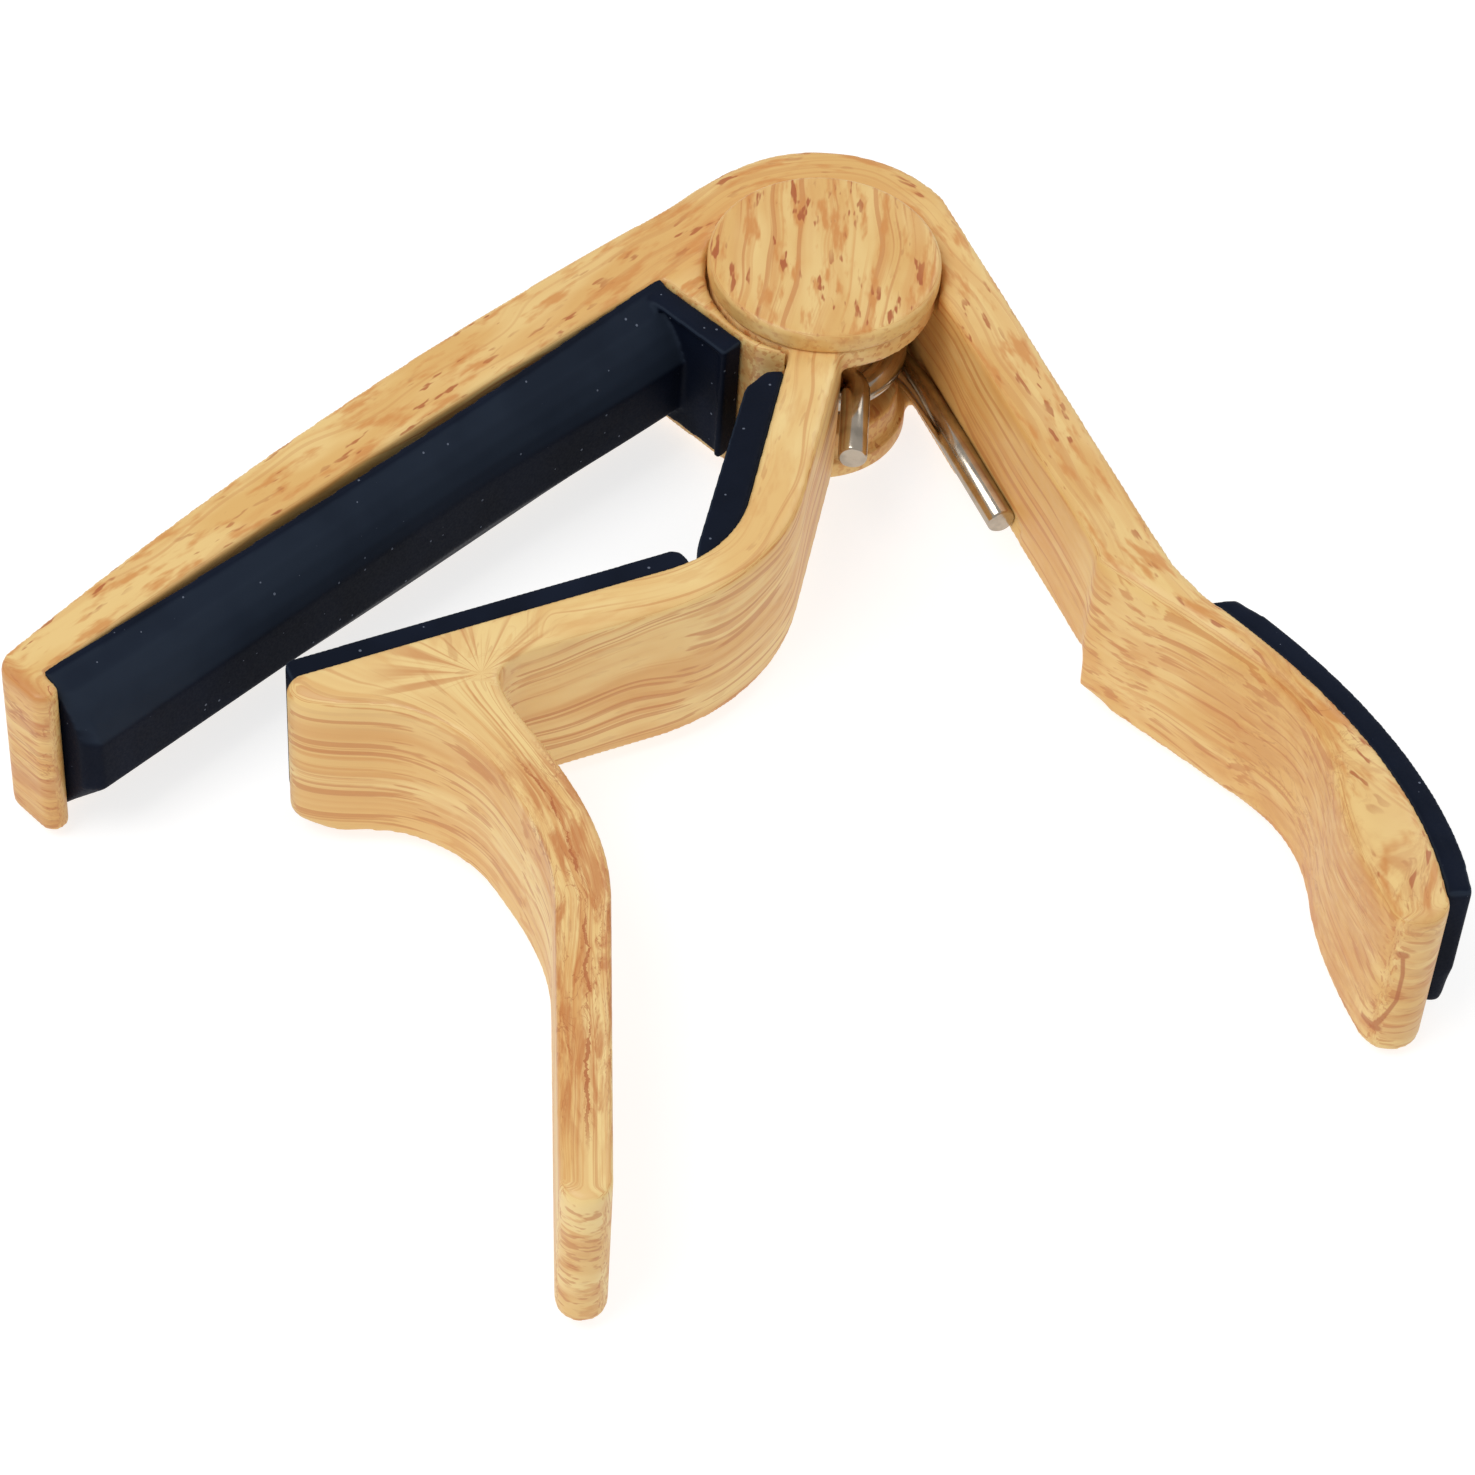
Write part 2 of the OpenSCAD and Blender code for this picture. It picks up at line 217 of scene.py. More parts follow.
def revolve(name, profile, steps=128):
    """A closed solid turned about the hinge axis. The profile is (radius, z) points, from the axis
    back to the axis, or once round a ring's section and back to its first point."""
    verts, faces, rings = [], [], []
    for r, z in profile:
        if rings and (r, z) == profile[0] and r > 0:
            rings.append(rings[0])
        elif r < 1e-6:
            rings.append([len(verts)])
            verts.append((0, 0, z))
        else:
            rings.append(list(range(len(verts), len(verts) + steps)))
            verts += [(*(r * unit(360 * k / steps)), z) for k in range(steps)]
    for a, b in zip(rings[:-1], rings[1:]):
        for k in range(steps):
            j = (k + 1) % steps
            if len(a) == 1:
                faces.append((a[0], b[k], b[j]))
            elif len(b) == 1:
                faces.append((a[k], a[j], b[0]))
            else:
                faces.append((a[k], a[j], b[j], b[k]))
    return mesh_from(name, verts, faces)


def loft(name, rings):
    """A closed solid through rings of equally many points."""
    count = len(rings[0])
    verts = [v for ring in rings for v in ring]
    faces = []
    for i in range(len(rings) - 1):
        for k in range(count):
            j = (k + 1) % count
            faces.append((i * count + k, i * count + j, (i + 1) * count + j, (i + 1) * count + k))
    faces.append(tuple(range(count)))
    faces.append(tuple(range(len(verts) - count, len(verts))))
    return mesh_from(name, verts, faces)


def box_solid(name, angle, s, n, z):
    """A box from its ranges along a direction, across it and up."""
    plan = [at(angle, a, b) for a, b in ((s[0], n[0]), (s[1], n[0]), (s[1], n[1]), (s[0], n[1]))]
    verts = [(*p, height) for height in z for p in plan]
    faces = [(0, 1, 2, 3), (4, 5, 6, 7)]
    faces += [(k, (k + 1) % 4, 4 + (k + 1) % 4, 4 + k) for k in range(4)]
    return mesh_from(name, verts, faces)


def store(obj, name, *columns):
    """Keep a number or a vector for each vertex, which the materials read by its name."""
    kind, field = ("FLOAT", "value") if len(columns) == 1 else ("FLOAT_VECTOR", "vector")
    attribute = obj.data.attributes.new(name, kind, "POINT")
    attribute.data.foreach_set(field, np.stack(columns, 1).astype(np.float32).ravel())


def shade_smooth(obj):
    obj.data.polygons.foreach_set("use_smooth", [True] * len(obj.data.polygons))
    obj.data.update()


def give(obj, material):
    obj.data.materials.clear()
    obj.data.materials.append(material)


def settle(obj, material, body, node):
    """Finish a piece, which rides on a body and stands for a CAD node."""
    shade_smooth(obj)
    give(obj, material)
    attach(obj, body)
    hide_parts(node)


# ---- material helpers ----


def linear(*rgb):
    """An sRGB colour in 0 to 255 as the linear RGBA that the shader takes."""
    out = []
    for c in rgb:
        c /= 255
        out.append(c / 12.92 if c <= 0.04045 else ((c + 0.055) / 1.055) ** 2.4)
    return (*out, 1.0)


def darker(colour, share):
    return (*(c * share for c in colour[:3]), 1.0)


class Shader:
    """A small builder for node materials. Its values are sockets or plain numbers."""

    def __init__(self, name):
        self.material = bpy.data.materials.new(name)
        self.material.use_nodes = True
        self.tree = self.material.node_tree
        self.bsdf = self.tree.nodes["Principled BSDF"]

    def link(self, source, target):
        self.tree.links.new(source, target)

    def put(self, socket, value):
        if hasattr(value, "is_linked"):
            self.link(value, socket)
        else:
            socket.default_value = value

    def surface(self, **values):
        """Set inputs of the surface, each named in lower case with underscores."""
        inputs = {socket.name.lower().replace(" ", "_"): socket for socket in self.bsdf.inputs}
        for name, value in values.items():
            self.put(inputs[name], value)

    def node(self, kind, **props):
        n = self.tree.nodes.new(kind)
        for key, value in props.items():
            setattr(n, key, value)
        return n

    def attribute(self, name):
        return self.node("ShaderNodeAttribute", attribute_name=name).outputs

    def position(self):
        """The object's own coordinates, in millimetres."""
        return self.scaled(self.node("ShaderNodeTexCoord").outputs["Object"], (1000,) * 3)

    def facing(self):
        """The surface normal's Z, from -1 underneath to 1 on top."""
        return self.split(self.node("ShaderNodeNewGeometry").outputs["Normal"])["Z"]

    def split(self, vector):
        """A vector's X, Y and Z."""
        n = self.node("ShaderNodeSeparateXYZ")
        self.link(vector, n.inputs[0])
        return n.outputs

    def scaled(self, vector, scale, shift=(0, 0, 0)):
        n = self.node("ShaderNodeMapping")
        self.put(n.inputs["Vector"], vector)
        n.inputs["Scale"].default_value = scale
        n.inputs["Location"].default_value = shift
        return n.outputs["Vector"]

    def noise(self, vector, detail=2.0, rough=0.5, distortion=0.0):
        n = self.node("ShaderNodeTexNoise")
        self.put(n.inputs["Vector"], vector)
        n.inputs["Scale"].default_value = 1.0
        n.inputs["Detail"].default_value = detail
        n.inputs["Roughness"].default_value = rough
        n.inputs["Distortion"].default_value = distortion
        return n.outputs["Fac"]

    def math(self, op, a, b=0.0):
        n = self.node("ShaderNodeMath", operation=op)
        self.put(n.inputs[0], a)
        self.put(n.inputs[1], b)
        return n.outputs[0]

    def product(self, first, *factors):
        for factor in factors:
            first = self.math("MULTIPLY", first, factor)
        return first

    def away(self, value, middle):
        """How far a value is from a middle, either way."""
        return self.math("ABSOLUTE", self.math("SUBTRACT", value, middle))

    def ramp(self, value, low, high, to_low=0.0, to_high=1.0):
        n = self.node("ShaderNodeMapRange", interpolation_type="SMOOTHSTEP")
        self.put(n.inputs["Value"], value)
        n.inputs["From Min"].default_value = low
        n.inputs["From Max"].default_value = high
        n.inputs["To Min"].default_value = to_low
        n.inputs["To Max"].default_value = to_high
        return n.outputs["Result"]

    def mask(self, vector, scale, edges, shift=(0, 0, 0), **grit):
        """Stretched noise that rises from 0 to 1 between two edges."""
        return self.ramp(self.noise(self.scaled(vector, scale, shift), **grit), *edges)

    def mix(self, factor, a, b):
        n = self.node("ShaderNodeMix", data_type="RGBA")
        self.put(n.inputs[0], factor)
        self.put(n.inputs[6], a)
        self.put(n.inputs[7], b)
        return n.outputs[2]

    def bump(self, height, strength, distance_mm):
        n = self.node("ShaderNodeBump")
        n.inputs["Strength"].default_value = strength
        n.inputs["Distance"].default_value = distance_mm * 0.001
        self.link(height, n.inputs["Height"])
        self.link(n.outputs["Normal"], self.bsdf.inputs["Normal"])


# ---- wood-grain film ----
#
# It reads four values that the pieces store for each vertex. "grain" holds the place along the arm,
# across it and up. "mottle" says how blotchy the print is. "fan" holds the distance from a corner,
# the way round it and a weight. "scar" holds the distances from a crack and from its knots, and a
# weight. A value that a piece doesn't store is 0.

TAN, PALE = linear(236, 188, 112), linear(247, 210, 138)
LIGHT_TAN, LIGHT_PALE = linear(243, 199, 126), linear(252, 219, 149)
ORANGE, RUST, BROWN = linear(221, 149, 76), linear(203, 119, 56), linear(184, 96, 44)

# long streaks from broad to hair-thin: scale, edges, shift, detail, roughness, strength and tint
STREAKS = (
    ((0.022, 0.40, 0.40), (0.46, 0.68), (0, 0, 0), 3.0, 0.55, 0.46, ORANGE),
    ((0.018, 1.05, 1.05), (0.52, 0.63), (9, 3, 5), 3.0, 0.55, 0.50, ORANGE),
    ((0.024, 1.90, 1.90), (0.55, 0.63), (2, 8, 1), 2.0, 0.50, 0.56, RUST),
)
STREAK_WANDER = 5.0
DASH_SHIFT = (4, 7, 2)  # shared by the dashes and their halos, so that they fall together
SEAM_V, SEAM_WANDER, SEAM_WIDTHS = 0.6, 5.0, (0.04, 0.34)
CRACK_EDGE, KNOT_EDGE = (0.08, 0.17), (0.30, 0.50)


def wandering(m, grain, up, side):
    """The grain's coordinates with a slow wave in them, which stays within each face."""
    wave = m.product(m.noise(m.scaled(grain, (0.07, 0.10, 0.10)), 1.0), STREAK_WANDER)
    bend = m.node("ShaderNodeCombineXYZ")
    m.put(bend.inputs["Y"], m.product(wave, up))
    m.put(bend.inputs["Z"], m.product(wave, side))
    total = m.node("ShaderNodeVectorMath", operation="ADD")
    m.put(total.inputs[0], grain)
    m.put(total.inputs[1], bend.outputs[0])
    return total.outputs[0]


def add_streaks(m, colour, vector, level):
    """The colour with the long streaks in it, and the mask of each kind of streak."""
    masks = []
    for scale, edges, shift, detail, rough, strength, tint in STREAKS:
        mask = m.mask(vector, scale, edges, shift, detail=detail, rough=rough)
        colour = m.mix(m.product(mask, m.product(level, strength)), colour, tint)
        masks.append(mask)
    return colour, masks


def add_fan(m, colour, pale):
    """Streaks that spread from the corner where a limb leaves the arm."""
    fan = m.attribute("fan")["Vector"]
    weight = m.split(fan)["Z"]
    rays = m.mask(fan, (0.05, 1.5, 0.0), (0.50, 0.62), (3, 4, 1), rough=0.6)
    colour = m.mix(m.product(weight, 0.8), colour, pale)
    return m.mix(m.product(rays, weight, 0.62), colour, RUST)


def add_dashes(m, colour, grain, spread, up, side, flecks):
    """Short rust dashes with a warm halo, in loose groups and mostly on the tops."""
    on_top = m.product(up, 0.85 * flecks)
    halo = m.mask(grain, (0.22, 0.85, 0.85), (0.49, 0.66), DASH_SHIFT, detail=3.0, rough=0.6)
    dash = m.mask(grain, (0.34, 1.3, 1.3), (0.60, 0.66), DASH_SHIFT, rough=0.55)
    level = m.math("ADD", on_top, m.product(side, 0.12))
    colour = m.mix(m.product(halo, on_top), colour, ORANGE)
    return m.mix(m.product(dash, m.ramp(spread, 0.36, 0.58), level), colour, BROWN)


def add_mottle(m, colour, grain, spread):
    """Blotches, thin crooked cracks and one jagged seam along the middle, where the print is blotchy."""
    mottle = m.attribute("mottle")["Fac"]
    warped = m.noise(m.scaled(grain, (0.20, 0.42, 0.42), (3, 1, 8)), 5.0, 0.66, 0.8)
    colour = m.mix(m.product(m.ramp(warped, 0.43, 0.62), mottle, 0.72), colour, RUST)

    crooked = m.noise(m.scaled(grain, (0.16, 0.22, 0.22), (7, 2, 4)), 5.0, 0.62, 1.2)
    crack = m.ramp(m.away(crooked, 0.5), 0.0, 0.018, 1.0, 0.0)
    colour = m.mix(m.product(crack, mottle, m.ramp(spread, 0.42, 0.60), 0.65), colour, BROWN)

    jag = m.math("SUBTRACT", m.noise(m.scaled(grain, (0.30, 0.0, 0.0), (5, 0, 0)), 5.0, 0.72), 0.5)
    across = m.math("SUBTRACT", m.split(grain)["Y"], m.product(jag, SEAM_WANDER))
    patches = m.noise(m.scaled(grain, (0.5, 0.6, 0.0), (1, 1, 1)), 3.0)
    seam = m.math("LESS_THAN", m.away(across, SEAM_V), m.ramp(patches, 0.42, 0.62, *SEAM_WIDTHS))
    return m.mix(m.product(seam, mottle, 0.75), colour, BROWN)


def add_scar(m, colour):
    """One long crack with a knot at each end."""
    scar = m.split(m.attribute("scar")["Vector"])
    line = m.ramp(m.math("ABSOLUTE", scar["X"]), *CRACK_EDGE, 1.0, 0.0)
    knot = m.ramp(scar["Y"], *KNOT_EDGE, 1.0, 0.0)
    return m.mix(m.product(m.math("MAXIMUM", line, knot), scar["Z"], 0.7), colour, BROWN)


def wood_film(name, side_streaks, top_streaks, flecks, base=(TAN, PALE)):
    """Printed wood grain under a satin coat."""
    m = Shader(name)
    grain = m.attribute("grain")["Vector"]
    up = m.ramp(m.math("ABSOLUTE", m.facing()), 0.55, 0.9)
    side = m.math("SUBTRACT", 1.0, up)
    spread = m.noise(m.scaled(grain, (0.12, 0.25, 0.25), (1, 5, 3)), 1.0)

    colour = m.mix(m.mask(grain, (0.07, 0.22, 0.22), (0.40, 0.60), detail=3.0), *base)
    level = m.math("ADD", m.product(side, side_streaks), m.product(up, top_streaks))
    colour, (_, lines, hairs) = add_streaks(m, colour, wandering(m, grain, up, side), level)
    colour = add_fan(m, colour, base[1])
    colour = add_dashes(m, colour, grain, spread, up, side, flecks)
    colour = add_mottle(m, colour, grain, spread)
    colour = add_scar(m, colour)

    gloss = m.noise(m.scaled(grain, (1.0, 3.0, 3.0)), 2.0)
    m.surface(base_color=colour, roughness=m.ramp(gloss, 0.3, 0.7, 0.40, 0.52))
    m.surface(coat_weight=0.12, coat_roughness=0.35)
    m.bump(m.math("ADD", lines, m.product(hairs, 0.5)), 0.25, 0.03)
    return m.material


# ---- silicone and metal ----

# the pads' dark blue, the lighter blue-grey of a painted sheen on slopes that face up, and the dust
# specks' colour
NAVY, SHEEN_TINT, SPECK = linear(19, 26, 43), linear(41, 50, 64), linear(150, 160, 180)


def silicone(name):
    """Matte silicone in a very dark blue, with fine moulding texture, a little dust, and a painted sheen
    on the slopes that face up.
    """
    m = Shader(name)
    place = m.position()
    cloud = m.noise(m.scaled(place, (0.13,) * 3), 3.0)
    colour = m.mix(m.ramp(cloud, 0.35, 0.65), darker(NAVY, 0.62), NAVY)

    # a painted sheen: slopes that face up are turned lighter, as if lit from above, and level tops only a
    # little
    z = m.facing()
    painted_sheen = m.product(m.ramp(z, 0.05, 0.40), m.ramp(z, 0.75, 0.95, 1.0, 0.12))
    colour = m.mix(m.product(painted_sheen, m.ramp(cloud, 0.35, 0.65, 0.75, 1.0)), colour, SHEEN_TINT)

    cells = m.node("ShaderNodeTexVoronoi", feature="F1")
    m.put(cells.inputs["Vector"], m.scaled(place, (1.15,) * 3))
    cells.inputs["Scale"].default_value = 1.0
    size = m.ramp(m.split(cells.outputs["Color"])["X"], 0.60, 1.0, 0.02, 0.12)
    speck = m.math("LESS_THAN", cells.outputs["Distance"], size)
    colour = m.mix(m.product(speck, 0.45), colour, SPECK)

    fine = m.noise(m.scaled(place, (5.0,) * 3), 2.0)
    m.surface(base_color=colour, roughness=m.ramp(fine, 0.3, 0.7, 0.45, 0.60))
    m.surface(specular_ior_level=0.05)
    m.bump(m.math("ADD", fine, m.product(speck, 0.5)), 0.2, 0.03)
    return m.material


def scratched_steel(name, tint, smoothest, roughest):
    """Plated wire or turned steel, with fine scratches and small stains."""
    m = Shader(name)
    place = m.position()
    stain = m.ramp(m.noise(m.scaled(place, (0.5,) * 3), 3.0), 0.4, 0.7)
    scratch = m.noise(m.scaled(place, (4.0, 0.8, 4.0)), 2.0)
    m.surface(base_color=m.mix(stain, tint, darker(tint, 0.72)), metallic=1.0)
    m.surface(roughness=m.ramp(scratch, 0.3, 0.7, smoothest, roughest))
    m.bump(scratch, 0.06, 0.01)
    return m.material


# ---- both arms ----

END_DEPTH, END_SQUEEZE = 1.5, 0.85


def along_end(v, s, end):
    """Across-the-arm coordinate, squeezed over an arm's last stretch so that lines run across its end."""
    return v * (1 - END_SQUEEZE * smoothstep(s, end - END_DEPTH, end - 0.4 * END_DEPTH))


# ---- string arm ----

ARM_VOXEL, ARM_PASSES = 0.31, 8
HEAD_SWEEP = 56.6  # half the turn from the bar's outer side to the handle's
HEAD_MID, HEAD_R = 82.2, 12.0
SIDE_N = 10.0  # how far the bar's and the handle's grain runs from the hinge axis
GRIP_END = 73.5
# the grip's middle line: distances along the handle, and the line's n at each
GRIP_LINE = (
    [0, 34, 41, 47, 55, 60, 65, 72, 80],
    [9.8, 9.8, 11.4, 14.6, 16.2, 16.0, 15.5, 14.4, 14.2],
)
# the swirl on the grip's top: its turn and centre, and its soft edges in z, s and n
SWIRL_TURN, SWIRL_S = -20.0, 58.0
SWIRL_Z, SWIRL_RISE, SWIRL_FALL, SWIRL_N = (11.5, 14.8), (44, 54), (64, 73), (-2.5, 1.8)
# the much softer edge between the grip's top and inner face, and the step's inner corner
SOFT_PASSES = 145
SOFT_RISE, SOFT_FALL, SOFT_Z, SOFT_N = (33.5, 39.0), (69.0, 73.0), (8.5, 12.0), (-0.6, 1.4)
STEP_RISE, STEP_FALL, STEP_N, STEP_SHARE = (32.8, 34.0), (35.5, 37.5), (8.6, 9.6), 0.4
FILL, FILL_WIDTH, FILL_N = 0.32, 2.4, (11.0, 12.4)
FOOT_R, FOOT_T, FOOT_BORE = 7.3, 1.6, 6.0
GRIP_MOTTLE, BAR_END_MOTTLE = 0.45, 0.8
# the crack that runs down the grip's end face, as (n, z) points
CRACK = [(12.85, 11.7), (13.1, 9.6), (13.1, 6.7), (12.7, 4.9), (12.3, 3.1)]
CRACK_FROM_S = 71


def string_arm_grain(co):
    """Coordinates that follow the bar, turn round the hinge head and follow the handle."""
    p = co[:, :2]
    sb, nb = local(p, BAR_ANGLE)
    sh, nh = local(p, HANDLE_ANGLE)
    centre = np.interp(sh, *GRIP_LINE)
    turn = HEAD_R * math.radians(HEAD_SWEEP)
    theta = np.degrees(np.arctan2(p[:, 1], p[:, 0]))
    u = HEAD_R * np.radians(HEAD_MID - theta)
    v = np.hypot(p[:, 0], p[:, 1])
    on_bar = (sb > 0) & ((np.abs(nb + SIDE_N) < np.abs(nh - SIDE_N)) | (sh < 0))
    on_handle = (sh > 0) & ~on_bar
    u = np.where(on_bar, -turn - sb, np.where(on_handle, turn + sh, u))
    on_bar_v = SIDE_N + along_end(-nb - SIDE_N, sb, BAR_LEN)
    on_handle_v = SIDE_N + along_end(nh - centre - 0.2, sh, GRIP_END)
    v = np.where(on_bar, on_bar_v, np.where(on_handle, on_handle_v, v))
    # the print swirls off across the grip's top
    swirl = smoothstep(co[:, 2], *SWIRL_Z) * band(sh, SWIRL_RISE, SWIRL_FALL)
    swirl *= smoothstep(nh - centre, *SWIRL_N) * on_handle
    turned_by = np.radians(SWIRL_TURN * swirl)
    du, dv = u - turn - SWIRL_S, v - SIDE_N
    u = np.where(on_handle, turn + SWIRL_S + du * np.cos(turned_by) - dv * np.sin(turned_by), u)
    v = np.where(on_handle, SIDE_N + du * np.sin(turned_by) + dv * np.cos(turned_by), v)
    return u, v


def foot_ring():
    """The flange under the hinge boss, with crisp edges."""
    r, t = FOOT_R, FOOT_T
    section = [(FOOT_BORE, 0.0), (r - 0.2, 0.0), (r - 0.05, 0.07), (r, 0.22), (r, t - 0.25)]
    section += [(r - 0.1, t - 0.05), (r - 0.3, t), (FOOT_BORE, t), (FOOT_BORE, 0.0)]
    return revolve("foot_ring", section)


def soften_grip(obj):
    """Round the edge between the grip's top and inner face much further, and the step's corner."""
    co = coords(obj.data)
    sh, nh = local(co[:, :2], HANDLE_ANGLE)
    inner = smoothstep(np.interp(sh, *GRIP_LINE) - nh, *SOFT_N)
    zone = band(sh, SOFT_RISE, SOFT_FALL) * smoothstep(co[:, 2], *SOFT_Z)
    corner = band(sh, STEP_RISE, STEP_FALL) * (1 - smoothstep(nh, *STEP_N))
    smoothed(obj, SOFT_PASSES, np.maximum(inner * zone, STEP_SHARE * corner))


def fill_hollow(obj):
    """Fill the hollow where the bar's back meets the round head."""
    co = coords(obj.data)
    sb, nb = local(co[:, :2], BAR_ANGLE)
    fill = FILL * np.exp(-((sb / FILL_WIDTH) ** 2)) * smoothstep(-nb, *FILL_N)
    co[:, :2] += fill[:, None] * at(BAR_ANGLE, 0, -1)
    set_coords(obj.data, co)


def store_scar(obj, sh, nh, z):
    """The signed distance from the crack, the distance from its nearer knot, and a weight."""
    top, bottom = CRACK[0], CRACK[-1]
    face = np.stack([nh, z], 1)
    gap, _, side = nearest(face, CRACK)
    to_knot = np.minimum(*(np.linalg.norm(face - np.array(k), axis=1) for k in (top, bottom)))
    weight = band(z, (bottom[1] - 0.6, bottom[1] - 0.4), (top[1] + 0.4, top[1] + 0.6))
    store(obj, "scar", gap * side, to_knot, weight * (sh > CRACK_FROM_S))


def make_string_arm(material):
    obj = softened("string_arm", "string_arm_cast", ARM_VOXEL, ARM_PASSES)
    soften_grip(obj)
    fill_hollow(obj)
    obj = joined([obj, foot_ring()], "string_arm_cast")
    co = coords(obj.data)
    sb, _ = local(co[:, :2], BAR_ANGLE)
    sh, nh = local(co[:, :2], HANDLE_ANGLE)
    mottle = GRIP_MOTTLE * smoothstep(sh, 42, 50)
    mottle += BAR_END_MOTTLE * smoothstep(sb, BAR_LEN - 1.6, BAR_LEN - 0.5)
    store(obj, "grain", *string_arm_grain(co), co[:, 2])
    store(obj, "mottle", mottle)
    store_scar(obj, sh, nh, co[:, 2])
    settle(obj, material, "frame", "string_arm")


# ---- lever ----

LEVER_VOXEL, LEVER_PASSES = 0.27, 10
BEND_C = np.array([STRAP_LEN, -STRAP_LEFT - BEND_R])
CRADLE_DIR, CRADLE_OUT = unit(-BEND_ANGLE), unit(90 - BEND_ANGLE)
CRADLE_START = BEND_C + BEND_R * CRADLE_OUT
CRADLE_TIP = CRADLE_START + CRADLE_DIR * CRADLE_LEN
LEVER_TOP_Z = (13.2, 14.6)
# the cradle's free end: how far it flares, where along and across it, and its corners' radii
FLARE, FLARE_ALONG, FLARE_RISE, FLARE_FALL = 0.95, (22.0, 28.0), (0.3, 2.2), (5, 8)
END_LOW_R, END_TOP_R, END_PASSES = 1.4, 1.1, 28
# the finger lever's middle line in (s, n), and its two sides from its tip back into the cradle
FINGER_LINE = bezier((46.5, -18.4), (53, -11.8), (57.5, -6.4), (64, -4.8), 24)
FINGER_LINE += [np.array([FINGER_LEN, 0.7])]
FINGER_LEFT = [np.array(p) for p in ((FINGER_LEN, 3.2), (64, -2.7), (56.8, -6.2))]
FINGER_LEFT += bezier((50.2, -12.4), (47.6, -14.6), (46.0, -15.4), (44.9, -15.2), 6)
FINGER_LEFT += [np.array([36.5, -14.0])]
FINGER_RIGHT = [np.array(p) for p in ((FINGER_LEN, -1.2), (65, -6.6))]
FINGER_RIGHT += bezier((57.2, -10.9), (51, -16), (50, -20.5), CRADLE_TIP + [1.6, 0], 12)
FINGER_HALF = 3
FINGER_ROOT = (6.0, 13.0)  # along the middle line, from inside the cradle to clear of it
# where the grain turns into the finger lever: along the cradle, along the strap, and its outer face
TURN_ALONG, TURN_S, OUTER_FACE = (9.5, 13.5), (47.0, 50.0), 3.2
TURN_U, TURN_STRETCH, TURN_V, TURN_WIDTH = 11.5, 1.05, -4, 10
FAN_CENTRE, FAN_FADE, FAN_SPREAD, FAN_SIDE = np.array([46.4, -16.1]), (4.5, 9.0), 3, (-1.2, 0.8)


def lever_grain(co):
    """Coordinates that follow the strap, the bend and the cradle and fan out of the finger lever,
    and how much of each point is the finger lever's."""
    s, n = local(co[:, :2], STRAP_ANGLE)
    p = np.stack([s, n], 1)
    q = p - BEND_C
    phi = np.degrees(np.arctan2(q[:, 1], q[:, 0]))
    radius = np.hypot(q[:, 0], q[:, 1])
    along, out = (p - CRADLE_START) @ CRADLE_DIR, (p - CRADLE_START) @ CRADLE_OUT
    bend_u = (BEND_R + 2) * np.radians(90 - np.clip(phi, 90 - BEND_ANGLE, 90))
    straight = s < STRAP_LEN
    turning = ~straight & (along < 0)
    u = np.where(straight, s, STRAP_LEN + bend_u + np.where(turning, 0, along))
    v = np.where(straight, n, np.where(turning, radius - BEND_R, out) - STRAP_LEFT)
    # the lines spread between the finger lever's two sides
    to_left = nearest(p, FINGER_LEFT)[0]
    to_right = nearest(p, FINGER_RIGHT)[0]
    share = to_left / np.maximum(to_left + to_right, 1e-6)
    root = np.maximum(smoothstep(along, *TURN_ALONG) * ~straight, smoothstep(s, *TURN_S))
    root = np.where((out > OUTER_FACE) & (s < TURN_S[0]), 0.0, root)
    finger_u = STRAP_LEN + TURN_U + (s - CRADLE_START[0]) * TURN_STRETCH
    u = u * (1 - root) + root * finger_u
    v = v * (1 - root) + root * (share * TURN_WIDTH + TURN_V)
    dist, run, _ = nearest(p, FINGER_LINE)
    finger = smoothstep(run, *FINGER_ROOT) * (dist < FINGER_HALF)
    finger *= 1 - smoothstep(s, FINGER_LEN - 8, FINGER_LEN - 3)
    v = along_end(v - 1, s, FINGER_LEN) + 1
    return u, v, finger


def shape_cradle_end(obj):
    """Flare the cradle's free end outwards, and round its corners and edges further."""
    co = coords(obj.data)
    p = np.stack(local(co[:, :2], STRAP_ANGLE), 1) - CRADLE_START
    along, out = p @ CRADLE_DIR, p @ CRADLE_OUT
    flare = FLARE * smoothstep(along, *FLARE_ALONG) * band(out, FLARE_RISE, FLARE_FALL)
    co[:, :2] += flare[:, None] * at(STRAP_ANGLE, *CRADLE_OUT)
    for corner, height in ((END_LOW_R, co[:, 2] - co[:, 2].min()), (END_TOP_R, TOP_Z - co[:, 2])):
        short = np.clip((corner - height) / corner, 0, 1)
        keep = np.sqrt(1 - 0.92 * short**2)
        on_end = (along > CRADLE_LEN - 4) & (out > -2) & (out < 6)  # clear of the finger lever
        shift = np.where(on_end, np.maximum(along - (CRADLE_LEN - corner), 0), 0) * (keep - 1)
        co[:, :2] += shift[:, None] * at(STRAP_ANGLE, *CRADLE_DIR)
        along = along + shift
    set_coords(obj.data, co)
    end = smoothstep(along, CRADLE_LEN - 3.0, CRADLE_LEN - 1.2) * smoothstep(out, 0.6, 1.6)
    smoothed(obj, END_PASSES, end * (0.12 + 0.88 * smoothstep(co[:, 2], 4.0, 8.0)))


def store_fan(obj, co, weight):
    """The distance from the corner of the strap and the finger lever, the way round it, and a weight."""
    d = np.stack(local(co[:, :2], STRAP_ANGLE), 1) - FAN_CENTRE
    along, out = d @ CRADLE_DIR, d @ CRADLE_OUT
    reach = np.hypot(d[:, 0], d[:, 1])
    weight = weight * (1 - smoothstep(reach, *FAN_FADE)) * smoothstep(-out, *FAN_SIDE)
    store(obj, "fan", reach, FAN_SPREAD * np.arctan2(out, along), weight)


